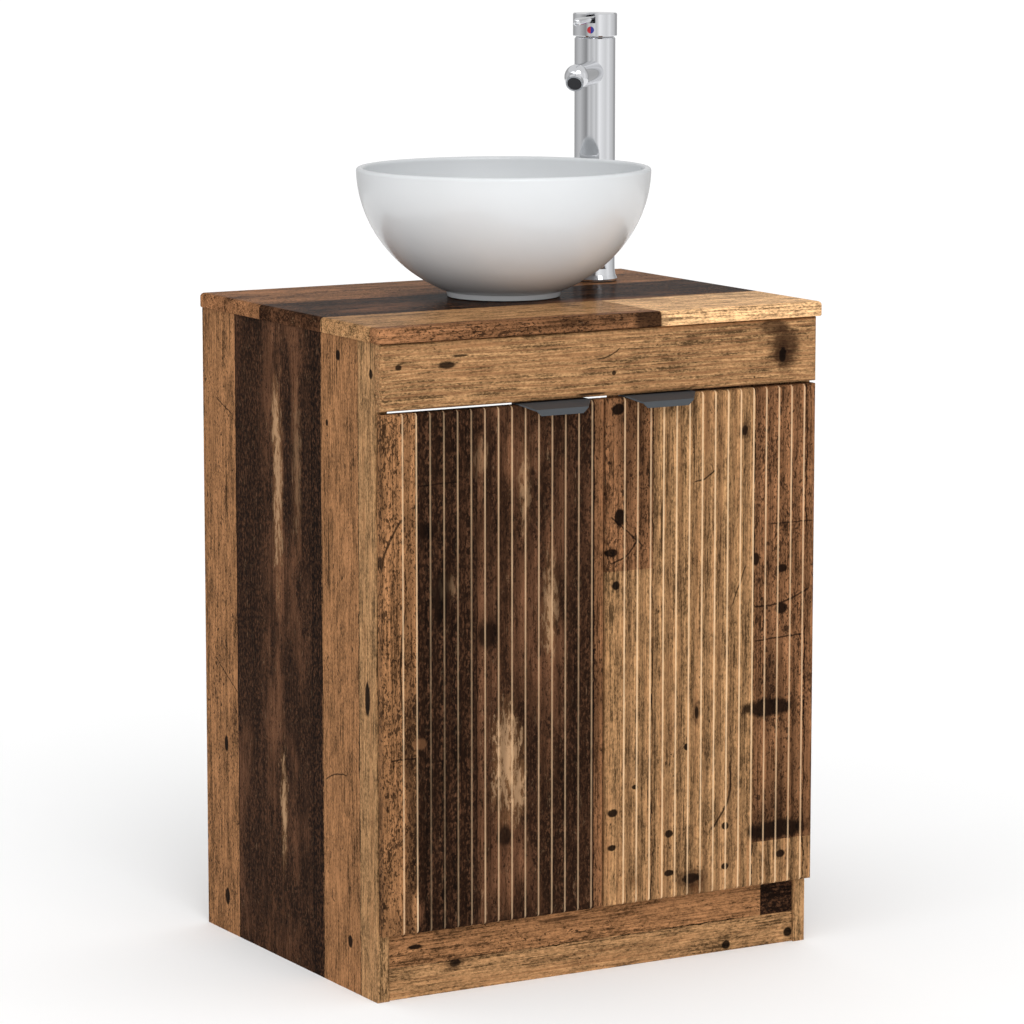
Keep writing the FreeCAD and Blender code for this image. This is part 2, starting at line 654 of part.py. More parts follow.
# -------------------------------------------------------------------------- fittings
def make_cams():
    cams, bolts = [], []
    for side, sign, owner, y, z, face in cam_points():
        point, inward = cam_at(sign, y, z, face)
        disc = cylinder(point, "cam_radius", "cam_height", inward)
        slot = cylinder(("%d * inner_x" % sign, y, z), "cam_bolt_radius + cam_play", "cam_distance",
                        inward_x(sign))
        cross = centred_box(point, ("2", "8", "2") if face == "-Z" else ("2", "2", "8"))
        cams.append(cut(disc, slot, cross))
        bolts.append(cylinder(("%d * (inner_x + cam_bolt_grip)" % sign, y, z), "cam_bolt_radius",
                              "cam_bolt_grip + cam_distance", inward_x(sign)))
    node("cam_locks", group(cams))
    node("cam_bolts", group(bolts))


def make_shelf_pins():
    pins = [cylinder(("%d * (inner_x + shelf_pin_length / 2)" % sign, y, "shelf_level - shelf_pin_radius"),
                     "shelf_pin_radius", "shelf_pin_length", inward_x(sign))
            for side, sign in SIDES for y in SHELF_COLUMNS]
    node("shelf_pins", group(pins))


def make_corner_blocks():
    """Hollow corner blocks hold the worktop to the side panels."""
    blocks, screws = [], []
    middle_z = "carcass_height - block_size / 2"
    for side, sign in SIDES:
        for y in BLOCK_PLACES:
            cube = centred_box(("%d * (inner_x - block_size / 2)" % sign, y, middle_z),
                               ("block_size", "block_length", "block_size"))
            bite = centred_box(("%d * (inner_x - block_wall - block_size / 2)" % sign, y,
                                middle_z + " - block_wall"),
                               ("block_size", "block_length - 2 * block_wall", "block_size"))
            bore = screw_hole(("%d * (inner_x - block_wall)" % sign, y, middle_z), "block_wall",
                              outward_x(sign))
            blocks.append(cut(cube, bite, bore))
            screws.append(screw(("%d * (inner_x - block_wall - screw_head_height)" % sign, y, middle_z),
                                "screw_grip + block_wall + screw_head_height", outward_x(sign)))
    for x in APRON_SCREWS:
        screws.append(screw((x, "front_y + board + screw_head_height", "apron_screw_level"),
                            "board + screw_grip + screw_head_height", "-Y"))
    node("corner_blocks", group(blocks))
    node("panel_screws", group(screws))


def make_wall_brackets():
    brackets, screws = [], []
    middle_z = "bracket_level + bracket_height / 2"
    for side, sign in SIDES:
        flat_at = ("%d * (inner_x - bracket_sheet / 2)" % sign, "back_y - bracket_leg / 2", middle_z)
        flat = centred_box(flat_at, ("bracket_sheet", "bracket_leg", "bracket_height"))
        wall_at = ("%d * (inner_x - bracket_leg / 2)" % sign, "back_y - bracket_sheet / 2", middle_z)
        wall = centred_box(wall_at, ("bracket_leg", "bracket_sheet", "bracket_height"))
        hole = cylinder(("%d * (inner_x - bracket_leg / 2 - bracket_sheet)" % sign, "back_y", middle_z),
                        "wall_screw_radius", "bracket_sheet", "-Y")
        bores = [screw_hole(("%d * inner_x" % sign, "back_y - bracket_leg / 2", z), "bracket_sheet",
                            inward_x(sign)) for z in BRACKET_SCREWS]
        brackets.append(cut(fuse(flat, wall), hole, *bores))
        for z in BRACKET_SCREWS:
            point = ("%d * (inner_x - bracket_sheet - screw_head_height)" % sign,
                     "back_y - bracket_leg / 2", z)
            screws.append(screw(point, "screw_grip + bracket_sheet + screw_head_height", outward_x(sign)))
    node("wall_brackets", group(brackets))
    node("bracket_screws", group(screws))


# ----------------------------------------------------------------------------- basin
def half_ellipsoid(at, upright, radius):
    """The lower half of an ellipsoid, its flat face up at the given point."""
    bowl = bind(new("Part::Ellipsoid", "bowl"), Radius1=upright, Radius2=radius, Radius3=radius)
    bowl.Angle1 = -90
    bowl.Angle2 = 0
    return place(bowl, at)


def make_basin():
    centre = ("0", "basin_y")
    rim = centre + ("basin_z + basin_height",)
    outside = half_ellipsoid(rim, "basin_bowl_depth", "basin_radius")
    below = cylinder(centre + ("carcass_height",), "basin_radius", "basin_z - carcass_height")
    foot = cone(centre + ("basin_z",), "foot_radius - foot_draft", "foot_radius + foot_draft", "foot_height")
    inside = half_ellipsoid(rim, "basin_height - basin_floor", "basin_radius - basin_wall")
    hollow = cylinder(centre + ("basin_z",), "foot_hollow_radius", "foot_hollow_depth")
    seat = cylinder(centre + ("basin_z + basin_floor",), "flange_radius + flange_play", "2 * basin_floor")
    drain = cylinder(centre + ("carcass_height",), "drain_radius", "top_thickness + 2 * basin_floor")
    raw = cut(fuse(cut(outside, below), foot), inside, hollow, seat, drain)
    doc.recompute()
    top = max(e.BoundBox.ZMax for e in raw.Shape.Edges)
    rounded = new("Part::Fillet", "rim")
    rounded.Base = raw
    rounded.Edges = [(i + 1, SIZES["rim_radius"], SIZES["rim_radius"])
                     for i, e in enumerate(raw.Shape.Edges) if lies_at(e, "Z", top)]
    node("basin", rounded)
    node("basin_seal", washer(centre + ("top_z",), "foot_radius - 3", "foot_hollow_radius + 2", "basin_seal"))


def washer(at, outer, inner, height):
    return cut(cylinder(at, outer, height), cylinder(at, inner, height))


def make_waste():
    """A slotted-flange waste: its tail, the clamping nut and seal, and the push plug."""
    centre = ("0", "basin_y")
    floor = "basin_z + basin_floor"
    foot = centre + ("waste_foot",)
    flange = cone(centre + (floor,), "flange_radius - 1", "flange_radius", "flange_height")
    tail = cylinder(foot, "waste_radius", "waste_length")
    neck = cylinder(centre + ("waste_foot + waste_tail",), "neck_radius", "waste_length - waste_tail")
    bore = cylinder(foot, "waste_bore", "waste_length")
    seat = cone(centre + (floor + " + flange_height - seat_depth",), "waste_bore", "plug_radius - 3",
                "seat_depth")
    bridge = centred_box(centre + ("bridge_z",), ("2 * waste_bore + 2", "bridge_width", "bridge_height"))
    guide = cylinder(centre + ("bridge_z - bridge_height",), "plug_stem + hinge_play", "2 * bridge_height")
    node("waste_body", cut(fuse(cut(fuse(flange, tail, neck), bore, seat), bridge), guide))
    disc = cone(centre + ("disc_z",), "plug_radius", "plug_radius - 2", "plug_height")
    stem = cylinder(centre + ("disc_z - stem_length",), "plug_stem", "stem_length + plug_height / 2")
    node("waste_plug", fuse(disc, stem))
    seal_at = centre + ("carcass_height - waste_seal_height",)
    node("waste_seal", washer(seal_at, "waste_nut_size", "neck_radius", "waste_seal_height"))
    nut_at = centre + ("carcass_height - waste_seal_height - waste_nut_height",)
    node("waste_nut", cut(hexagon(nut_at, "waste_nut_size", "waste_nut_height"),
                          cylinder(nut_at, "neck_radius", "waste_nut_height")))


# ------------------------------------------------------------------------------- tap
def tap_place(thing):
    """Stand a piece that is made about the tap's own axis, spout to the front, on the worktop."""
    return place(thing, ("tap_x", "tap_y", "top_z"), ((0, 0, 1), "-tap_turn"))


def along_nozzle(name, start, **sizes):
    """A cylinder along the nozzle's slope that starts this far from the spout's end."""
    at = ("0", "-spout_reach - (%s) * cos(nozzle_drop)" % start,
          "spout_level - (%s) * sin(nozzle_drop)" % start)
    return place(bind(new("Part::Cylinder", name), **sizes), at, ((1, 0, 0), "90 + nozzle_drop"))


def make_tap():
    """A tall pillar mixer: body, side spout, and a cap with a pin lever on its top."""
    profile = [("0", "tap_seal"), ("tap_skirt_radius", "tap_seal"), ("tap_skirt_radius", "tap_seal + 2"),
               ("tap_radius + 1.1", "tap_seal + 0.45 * tap_skirt_height"),
               ("tap_radius + 0.25", "tap_seal + 0.75 * tap_skirt_height"),
               ("tap_radius", "tap_seal + tap_skirt_height"), ("tap_radius", "tap_body_height - 1.5"),
               ("tap_radius - 1", "tap_body_height"), ("cartridge_bore", "tap_body_height"),
               ("cartridge_bore", "cartridge_foot"), ("0", "cartridge_foot")]
    shaft = turned(("0", "0", "0"), profile)
    inlets = [cylinder(("%d * inlet_spacing / 2" % way, "inlet_behind", "tap_seal"), "inlet_radius",
                       "inlet_depth") for way in (-1, 1)]
    stud_hole = cylinder(("0", "-stud_ahead", "tap_seal"), "stud_radius", "inlet_depth")
    node("tap_body", tap_place(cut(shaft, stud_hole, *inlets)))
    seal = turned(("0", "0", "0"), [("tap_hole_radius", "0"), ("tap_skirt_radius - 1", "0"),
                                    ("tap_skirt_radius - 1", "tap_seal"), ("tap_hole_radius", "tap_seal")])
    node("tap_seal_ring", tap_place(seal))

    tube = cylinder(("0", "0", "spout_level"), "spout_radius", "spout_reach", "-Y")
    dome = sphere(("0", "-spout_reach", "spout_level"), "spout_radius")
    nozzle = along_nozzle("nozzle", "0", Radius="nozzle_radius", Height="nozzle_length")
    mouth = along_nozzle("mouth", "nozzle_length - aerator_length", Radius="aerator_radius",
                         Height="2 * aerator_length")
    body_core = cylinder(("0", "0", "0"), "tap_radius", "tap_body_height")
    node("tap_spout", tap_place(cut(fuse(tube, dome, nozzle), body_core, mouth)))
    insert = along_nozzle("insert", "nozzle_length - aerator_length", Radius="aerator_radius - 0.1",
                          Height="aerator_length - 1")
    node("tap_aerator", tap_place(group([insert])))

    cartridge = fuse(cylinder(("0", "0", "cartridge_foot"), "cartridge_radius", "cartridge_depth"),
                     cylinder(("0", "0", "tap_body_height"), "tap_radius - 2", "cap_gap - 0.4"),
                     cylinder(("0", "0", "tap_body_height"), "cartridge_neck",
                              "cartridge_top - tap_body_height"))
    node("tap_cartridge", tap_place(cartridge))

    cap_top = "cap_z + cap_height"
    shell = turned(("0", "0", "0"), [
        ("cap_radius - cap_wall", "cap_z"), ("cap_radius - 1", "cap_z"), ("cap_radius", "cap_z + 1"),
        ("cap_radius", cap_top + " - 1.2"), ("cap_radius - 1.2", cap_top), ("0", cap_top),
        ("0", cap_top + " - cap_wall"), ("cap_radius - cap_wall", cap_top + " - cap_wall")])
    notch = box(("-cap_notch / 2", "-cap_radius - 5", "cap_z + notch_sill"),
                ("cap_notch", "cap_radius + 5", "cap_height"))
    dot_seat = cylinder(("0", "-cap_radius - 1", "cap_z + dot_height"), "dot_radius", "dot_depth", "+Y")
    node("tap_cap", tap_place(cut(shell, notch, dot_seat)))
    dot = cut(cylinder(("0", "1 - cap_radius - dot_depth * 0.6", "cap_z + dot_height"), "dot_radius",
                       "dot_depth * 0.6", "+Y"),
              washer(("0", "0", "cap_z"), "cap_radius + 3", "cap_radius + 0.1", "cap_height"))
    node("tap_indicator", tap_place(dot))

    pivot = "lever_z - lever_rise"
    hub = sphere(("0", "0", pivot), "lever_hub_radius")
    stem = cylinder(("0", "0", "cartridge_top + 0.5"), "lever_root", pivot + " - cartridge_top - 0.5")
    neck = place(bind(new("Part::Cylinder", "neck"), Radius="lever_root", Height="sqrt(2) * lever_rise"),
                 ("0", "0", pivot), ((1, 0, 0), "45"))
    elbow = sphere(("0", "-lever_rise", "lever_z"), "lever_root + 0.3")
    bar = cone(("0", "-lever_rise", "lever_z"), "lever_root", "lever_tip", "lever_reach - lever_rise", "-Y")
    tip = sphere(("0", "0.5 - lever_reach", "lever_z"), "lever_tip - 0.05")
    node("tap_lever", tap_place(fuse(hub, stem, neck, elbow, bar, tip)))

    stud_at = ("0", "-stud_ahead", "tap_seal + inlet_depth - stud_length")
    node("tap_stud", tap_place(group([cylinder(stud_at, "stud_radius", "stud_length")])))
    plate_z = "-top_thickness - horseshoe_sheet"
    horseshoe = cut(cylinder(("0", "0", plate_z), "tap_hole_radius + 7", "horseshoe_sheet"),
                    cylinder(("0", "-stud_ahead", plate_z), "stud_radius + 0.3", "horseshoe_sheet"),
                    box(("-inlet_spacing / 2 - 6", "-4", plate_z),
                        ("inlet_spacing + 12", "2 * tap_hole_radius", "horseshoe_sheet")))
    node("tap_horseshoe", tap_place(horseshoe))
    nut_at = ("0", "-stud_ahead", plate_z + " - stud_nut_height")
    nut = cut(hexagon(nut_at, "stud_nut_size", "stud_nut_height"),
              cylinder(nut_at, "stud_radius", "stud_nut_height"))
    node("tap_stud_nut", tap_place(nut))


# --------------------------------------------------------------------- make and write
make_side_panels()
make_boards()
make_worktop()
make_apron()
make_doors()
make_pulls()
make_bumpers()
make_hinges()
make_cams()
make_shelf_pins()
make_corner_blocks()
make_wall_brackets()
make_basin()
make_waste()
make_tap()
doc.recompute()

faults = [o.Name for o in doc.Objects if "Invalid" in o.State or "Error" in o.State]
for name, thing in nodes.items():
    if thing.Shape.isNull() or not thing.Shape.isValid():
        faults.append(name)
if faults:
    raise RuntimeError("failed objects: " + ", ".join(faults))

os.makedirs("parts", exist_ok=True)
for name, thing in nodes.items():
    thing.Shape.exportStep("parts/%s.step" % name)
    print("%-24s solids %d  volume %.1f" % (name, len(thing.Shape.Solids), thing.Shape.Volume))
print(len(nodes), "nodes")
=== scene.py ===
import math

import bpy
from mathutils import Euler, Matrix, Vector


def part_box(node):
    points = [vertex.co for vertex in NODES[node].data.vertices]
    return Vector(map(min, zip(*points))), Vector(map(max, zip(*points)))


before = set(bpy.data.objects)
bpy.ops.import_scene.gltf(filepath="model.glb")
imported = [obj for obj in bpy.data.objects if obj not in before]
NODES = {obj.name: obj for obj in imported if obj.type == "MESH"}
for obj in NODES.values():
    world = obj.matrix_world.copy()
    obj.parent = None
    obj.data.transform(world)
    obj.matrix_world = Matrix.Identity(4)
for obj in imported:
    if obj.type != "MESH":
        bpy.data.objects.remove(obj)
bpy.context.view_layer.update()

AXES = {"X": 0, "Y": 1, "Z": 2}


def srgb(red, green, blue):
    """A display colour, 0 to 255, as the linear colour that shaders take."""
    def linear(value):
        value /= 255
        return value / 12.92 if value <= 0.04045 else ((value + 0.055) / 1.055) ** 2.4
    return tuple(linear(v) for v in (red, green, blue))


# ------------------------------------------------------------------------ shader nets
class Net:
    """One material, with short calls for the nodes that it is wired from."""

    def __init__(self, name):
        self.material = bpy.data.materials.new(name)
        self.material.use_nodes = True
        self.tree = self.material.node_tree
        self.shader = next(n for n in self.tree.nodes if n.type == "BSDF_PRINCIPLED")
        self.place = self.tree.nodes.new("ShaderNodeTexCoord").outputs["Object"]
        split = self.tree.nodes.new("ShaderNodeSeparateXYZ")
        self.tree.links.new(self.place, split.inputs[0])
        self.xyz = [split.outputs[i] for i in range(3)]

    def wire(self, value, socket):
        if isinstance(value, bpy.types.NodeSocket):
            self.tree.links.new(value, socket)
        elif isinstance(value, tuple) and len(value) == 3 and len(socket.default_value) == 4:
            socket.default_value = value + (1.0,)
        else:
            socket.default_value = value

    def set(self, **values):
        """Set the main shader's sockets, an underscore standing for a space."""
        for name, value in values.items():
            self.wire(value, self.shader.inputs[name.replace("_", " ")])

    def math(self, kind, a, b=0.0, clamp=False):
        node = self.tree.nodes.new("ShaderNodeMath")
        node.operation = kind
        node.use_clamp = clamp
        self.wire(a, node.inputs[0])
        self.wire(b, node.inputs[1])
        return node.outputs[0]

    def add(self, a, b):
        return self.math("ADD", a, b)

    def times(self, a, b):
        return self.math("MULTIPLY", a, b)

    def less(self, a, b):
        return self.math("SUBTRACT", a, b)

    def steep(self, value, middle, slope):
        """0 below the middle and 1 above it, over a ramp of this slope."""
        return self.math("ADD", self.times(self.less(value, middle), slope), 0.5, clamp=True)

    def band(self, value, low, high, slope=4000.0):
        """1 between two values and 0 outside."""
        return self.math("MULTIPLY", self.steep(value, low, slope),
                         self.less(1.0, self.steep(value, high, slope)))

    def vector(self, x, y, z):
        node = self.tree.nodes.new("ShaderNodeCombineXYZ")
        for socket, value in zip(node.inputs, (x, y, z)):
            self.wire(value, socket)
        return node.outputs[0]

    def noise(self, at, detail=3.0, rough=0.55, seed=0.0, scales=None, bend=0.0):
        """Noise over three coordinates, each with its own scale per metre."""
        node = self.tree.nodes.new("ShaderNodeTexNoise")
        node.noise_dimensions = "4D"
        if scales:
            at = self.vector(*[self.times(value, scale) for value, scale in zip(at, scales)])
        self.wire(at, node.inputs["Vector"])
        for name, value in (("W", seed), ("Scale", 1.0), ("Detail", detail), ("Roughness", rough),
                            ("Distortion", bend)):
            node.inputs[name].default_value = value
        return node.outputs["Fac"]

    def even(self, scale, seed, detail=2, rough=0.5):
        """Noise of one scale per metre in every direction."""
        return self.noise(self.xyz, detail, rough, seed, (scale, scale, scale))

    def mix(self, a, b, share, kind="MIX"):
        node = self.tree.nodes.new("ShaderNodeMix")
        node.data_type = "RGBA"
        node.blend_type = kind
        self.wire(share, node.inputs["Factor"])
        self.wire(a, node.inputs[6])
        self.wire(b, node.inputs[7])
        return node.outputs[2]

    def ramp(self, value, stops, mode="LINEAR"):
        node = self.tree.nodes.new("ShaderNodeValToRGB")
        node.color_ramp.interpolation = mode
        elements = node.color_ramp.elements
        while len(elements) < len(stops):
            elements.new(1.0)
        for element, (at, colour) in zip(elements, stops):
            element.position = at
            element.color = (colour if isinstance(colour, tuple) else (colour,) * 3) + (1.0,)
        self.wire(value, node.inputs[0])
        return node.outputs["Color"]

    def channels(self, colour):
        node = self.tree.nodes.new("ShaderNodeSeparateColor")
        self.wire(colour, node.inputs[0])
        return node.outputs[:3]

    def bump(self, height, strength, distance):
        node = self.tree.nodes.new("ShaderNodeBump")
        node.inputs["Strength"].default_value = strength
        node.inputs["Distance"].default_value = distance
        self.wire(height, node.inputs["Height"])
        self.tree.links.new(node.outputs[0], self.shader.inputs["Normal"])


# --------------------------------------------------------------------- old-wood decor
TAN = srgb(137, 97, 64)
SAND = srgb(148, 112, 76)
STRAW = srgb(153, 117, 80)
PALE = srgb(196, 156, 113)
BROWN = srgb(127, 88, 59)
UMBER = srgb(98, 66, 46)
RUST = srgb(82, 50, 29)
BARK = srgb(42, 25, 15)
SOOT = srgb(20, 12, 8)
BLACK = srgb(9, 6, 5)
FLAKE = srgb(186, 150, 114)
OCHRE = srgb(128, 92, 60)
# pale colour of the painted highlight along the flutes' lips
LIP_HIGHLIGHT = srgb(214, 180, 142)

# what a plank looks like: its wood, its stain, how much of it is stained, how strongly
# it is streaked along the grain, how many flecks it has and how many pale flakes
PLANKS = {
    "tan": (TAN, BARK, 0.20, 0.60, 0.50, 0.0),
    "dashed": (TAN, BARK, 0.22, 0.40, 0.85, 0.0),
    "speckled": (TAN, SOOT, 0.40, 0.35, 1.20, 0.10),
    "straw": (STRAW, RUST, 0.08, 1.00, 0.05, 0.0),
    "sand": (SAND, RUST, 0.14, 1.00, 0.06, 0.1),
    "pale": (PALE, RUST, 0.10, 0.60, 0.10, 0.0),
    "brown": (BROWN, BARK, 0.30, 0.55, 0.75, 0.12),
    "wear_and_highlight": (BROWN, SOOT, 0.38, 0.60, 0.95, 0.25),
    "dark": (UMBER, SOOT, 0.64, 0.50, 0.60, 0.30),
    "black": (UMBER, BLACK, 0.86, 0.50, 0.50, 0.15),
}


# the noises that boards are drawn with: detail, roughness, seed after the decor's own,
# scale per metre across and along the boards, and bend
NOISES = {
    "mottle": (6, 0.72, 0, 105, 38, 0.3),
    "broad": (4, 0.6, 5, 19, 6.0, 0.4),
    "fine": (4, 0.7, 9, 520, 230, 0.0),
    "lines": (6, 0.68, 2, 190, 2.6, 0.3),
    "fibre": (4, 0.7, 3, 560, 14, 0.3),
    "cloud": (3, 0.6, 12, 34, 11, 0.5),
    "grit": (3, 0.65, 8, 330, 190, 0.4),
    "gaps": (3, 0.55, 6, 40, 15, 0.0),
    "small_flecks": (2, 0.5, 4, 560, 260, 0.5),
    "large_flecks": (2, 0.5, 14, 230, 120, 0.5),
    "peel": (6, 0.75, 7, 210, 60, 0.5),
}
FLECK_SLOPE = 22.0
DARKEST, BRIGHTEST = 0.22, 1.9
SEAM_HALF_WIDTH = 0.0008

# planks run this far past the piece's box, so that none ends on a face
MARGIN = 0.001

# the doors' flutes: from the door's left edge to the first lip, and from lip to lip
FLUTE_START = 0.0256
FLUTE_PITCH = 0.0182
FLUTE_COUNT = 16
FLUTE_DEPTH_LIMIT = 0.004


class Decor(Net):
    """Printed old-wood boards side by side, with stains, flecks, knots and nail holes."""

    def __init__(self, name, across, along, span, planks, seed, gain=1.0):
        super().__init__(name)
        self.u = self.xyz[AXES[across]]
        self.v = self.xyz[AXES[along]]
        self.w = self.xyz[3 - AXES[across] - AXES[along]]
        self.at = (self.u, self.v, self.w)
        self.seed = seed
        self.gain = gain
        self.low, self.high = low, high = span
        share = self.math("DIVIDE", self.less(self.u, low), high - low)
        kinds = [((start - low) / (high - low), PLANKS[kind]) for start, kind in planks]
        self.wood = self.ramp(share, [(at, k[0]) for at, k in kinds], "CONSTANT")
        self.stain = self.ramp(share, [(at, k[1]) for at, k in kinds], "CONSTANT")
        self.traits = self.ramp(share, [(at, k[2:5]) for at, k in kinds], "CONSTANT")
        self.flaked = self.ramp(share, [(at, k[5]) for at, k in kinds], "CONSTANT")
        self.joints = [start for start, kind in planks[1:]]
        self.shapes = []

    def block(self, u_low, u_high, v_low, v_high, kind):
        """A piece of another plank let into the row."""
        inside = self.times(self.band(self.u, u_low, u_high), self.band(self.v, v_low, v_high))
        wood, stain, *traits, flaked = PLANKS[kind]
        self.wood = self.mix(self.wood, wood, inside)
        self.stain = self.mix(self.stain, stain, inside)
        self.traits = self.mix(self.traits, tuple(traits), inside)
        self.flaked = self.mix(self.flaked, (flaked,) * 3, inside)

    def patch(self, u, v, half_u, half_v, amount):
        """A soft stretch that is stained more, or less where the amount is negative."""
        self.shapes.append((u, v, half_u, half_v, amount))

    def reach(self, u, v, half_u, half_v, ragged=0.0):
        """Distance from a point, 1 on the ellipse of these half sizes."""
        du = self.math("DIVIDE", self.less(self.u, u), half_u)
        dv = self.math("DIVIDE", self.less(self.v, v), half_v)
        far = self.math("SQRT", self.add(self.times(du, du), self.times(dv, dv)))
        return self.add(far, self.times(self.less(self.mottle, 0.5), ragged)) if ragged else far

    def swing(self, *parts):
        """1, and more or less by each noise's swing about its middle."""
        total = 1.0
        for noise, weight in parts:
            total = self.add(total, self.times(self.less(noise, 0.5), weight))
        return total

    def texture(self, name):
        """One of the boards' noises."""
        detail, rough, seed, across, along, bend = NOISES[name]
        return self.noise(self.at, detail, rough, self.seed + seed, (across, along, across), bend)

    def flecks(self, name, threshold):
        """Small dark marks, closer together where the threshold is low."""
        return self.math("MULTIPLY", self.less(self.texture(name), threshold), FLECK_SLOPE, clamp=True)

    def grow(self):
        """The plain boards: grain, stain, flecks, flakes and the seams between them."""
        level, streak, flecked = self.channels(self.traits)
        self.mottle = self.texture("mottle")
        broad = self.texture("broad")
        fine = self.texture("fine")
        lines = self.texture("lines")
        fibre = self.texture("fibre")
        cloud = self.texture("cloud")

        field = self.add(self.add(self.times(broad, 0.38), self.times(self.mottle, 0.26)),
                         self.add(self.times(fine, 0.24), self.times(fibre, 0.16)))
        for u, v, half_u, half_v, amount in self.shapes:
            near = self.math("SUBTRACT", 1.0, self.reach(u, v, half_u, half_v, 1.2), clamp=True)
            level = self.math("ADD", level, self.times(near, amount), clamp=True)
        edge = self.less(0.68, self.times(level, 0.29))
        dark = self.math("ADD", self.times(self.less(field, edge), 15.0), 0.5, clamp=True)

        drift = self.add(0.35, self.times(self.steep(cloud, 0.48, 5.0), 0.65))
        tone = self.times(self.steep(lines, 0.53, 7.0), drift)
        shade = self.mix(self.wood, self.stain, self.times(self.times(tone, streak), 0.62))
        bright = self.swing((fibre, 4.0), (lines, 3.0), (self.mottle, 2.6), (cloud, 2.0), (fine, 3.4))
        bright = self.math("MINIMUM", self.math("MAXIMUM", bright, DARKEST), BRIGHTEST)
        shade = self.mix(shade, self.vector(bright, bright, bright), 1.0, "MULTIPLY")
        grit = self.texture("grit")
        cover = self.add(0.56, self.times(self.steep(grit, 0.47, 9.0), 0.38))
        colour = self.mix(shade, self.stain, self.times(dark, cover))

        gaps = self.texture("gaps")
        sparse = self.less(0.88, self.add(self.times(flecked, 0.115), self.times(gaps, 0.36)))
        small = self.flecks("small_flecks", sparse)
        large = self.flecks("large_flecks", self.add(sparse, 0.025))
        fleck = self.math("MAXIMUM", small, large)
        colour = self.mix(colour, SOOT, self.times(fleck, 0.78))
        self.peel = self.texture("peel")
        flake = self.times(self.steep(self.peel, 0.62, 14.0), self.flaked)
        colour = self.mix(colour, FLAKE, self.times(flake, 0.55))
        for joint in self.joints:
            ragged = self.times(self.less(self.mottle, 0.5), 0.012)
            place = self.add(self.u, ragged)
            seam = self.band(place, joint - SEAM_HALF_WIDTH, joint + SEAM_HALF_WIDTH, 1800.0)
            colour = self.mix(colour, BLACK, self.times(seam, self.steep(cloud, 0.46, 8.0)))
        self.colour = colour
        self.level = level
        self.hollows = [self.times(dark, 0.3), fleck, self.times(tone, 0.25)]

    def spot(self, u, v, half_u, half_v, colour=BLACK, soft=5.0, ragged=0.6, share=0.95, deep=1.0):
        """A nail hole, stain or knot's heart."""
        inside = self.less(1.0, self.steep(self.reach(u, v, half_u, half_v, ragged), 1.0, soft))
        self.colour = self.mix(self.colour, colour, self.times(inside, share))
        self.hollows.append(self.times(inside, deep))

    def knot(self, u, v, half_u, half_v):
        """A knot: faint rings about a dark heart."""
        far = self.reach(u, v, half_u, half_v, 1.5)
        inside = self.less(1.0, self.steep(far, 0.8, 1.6))
        rings = self.math("SINE", self.times(far, 13.0))
        share = self.times(inside, self.add(0.50, self.times(rings, 0.22)))
        self.colour = self.mix(self.colour, BARK, share)
        self.spot(u, v, half_u * 0.42, half_v * 0.42, BLACK, 3.0, 1.6, 0.9)

    def flaky(self, u, v, half_u, half_v, share=0.8):
        """A stretch where the stain has peeled down to pale fibres."""
        near = self.math("SUBTRACT", 1.0, self.reach(u, v, half_u, half_v, 1.6), clamp=True)
        bare = self.steep(self.add(self.peel, self.times(near, 0.20)), 0.60, 16.0)
        self.colour = self.mix(self.colour, OCHRE, self.times(near, share))
        bare = self.times(self.times(bare, share), self.math("SQRT", near))
        self.colour = self.mix(self.colour, FLAKE, bare)

    def scratch(self, u, v, length, turn, width=0.0009, bow=0.0):
        """A dark curved crack from a point, turned from the across direction."""
        c, s = math.cos(math.radians(turn)), math.sin(math.radians(turn))
        du, dv = self.less(self.u, u), self.less(self.v, v)
        along = self.add(self.times(du, c), self.times(dv, s))
        aside = self.add(self.times(du, -s), self.times(dv, c))
        aside = self.add(aside, self.times(self.math("SINE", self.times(along, math.pi / length)), bow))
        aside = self.add(aside, self.times(self.less(self.mottle, 0.5), 0.005))
        line = self.times(self.band(along, 0.0, length, 300.0), self.band(aside, -width, width, 1400.0))
        self.colour = self.mix(self.colour, BLACK, self.times(line, 0.8))
        self.hollows.append(line)

    def flutes(self, first, face):
        """Painted highlights along the grooves' lips and painted shade in their valleys, on the fluted face
        only.
        """
        start = first - FLUTE_PITCH / 2
        end = first + (FLUTE_COUNT - 0.5) * FLUTE_PITCH
        turn = self.math("FRACT", self.math("DIVIDE", self.less(self.u, first), FLUTE_PITCH))
        # painted highlight: a pale line along each groove's lip
        lip = self.add(self.less(1.0, self.steep(turn, 0.055, 40.0)), self.steep(turn, 0.965, 40.0))
        # painted shade: darker across each groove's valley
        valley_shade = self.times(self.steep(turn, 0.16, 9.0), self.less(1.0, self.steep(turn, 0.62, 3.0)))
        front = self.times(self.steep(self.u, start, 4000.0), self.less(1.0, self.steep(self.u, end, 4000.0)))
        front = self.times(front, self.less(1.0, self.steep(self.w, face + FLUTE_DEPTH_LIMIT, 4000.0)))
        # the painted highlight is fainter on the more stained planks and uneven along the lips
        kept = self.less(1.12, self.times(self.level, 0.95))
        uneven = self.add(0.35, self.times(self.mottle, 0.8))
        wear_and_highlight = self.times(self.times(lip, front), self.times(kept, uneven))
        # the valleys darkened with painted shade
        self.colour = self.mix(self.colour, BARK, self.times(self.times(valley_shade, front), 0.34))
        # the lips lightened with the painted highlight
        self.colour = self.mix(self.colour, LIP_HIGHLIGHT, wear_and_highlight)

    def done(self, rough=0.46, relief=0.35, specular=0.01):
        """The finished material, with its gloss and with its marks as shallow hollows."""
        pits = 0.0
        for hollow in self.hollows:
            pits = self.add(pits, hollow)
        self.set(Base_Color=self.mix(self.colour, (self.gain,) * 3, 1.0, "MULTIPLY"))
        gloss = self.add(rough, self.times(self.mottle, 0.16))
        self.set(Roughness=gloss)
        self.shader.inputs["Specular IOR Level"].default_value = specular
        self.bump(self.less(1.0, pits), relief, 0.0006)
        return self.material


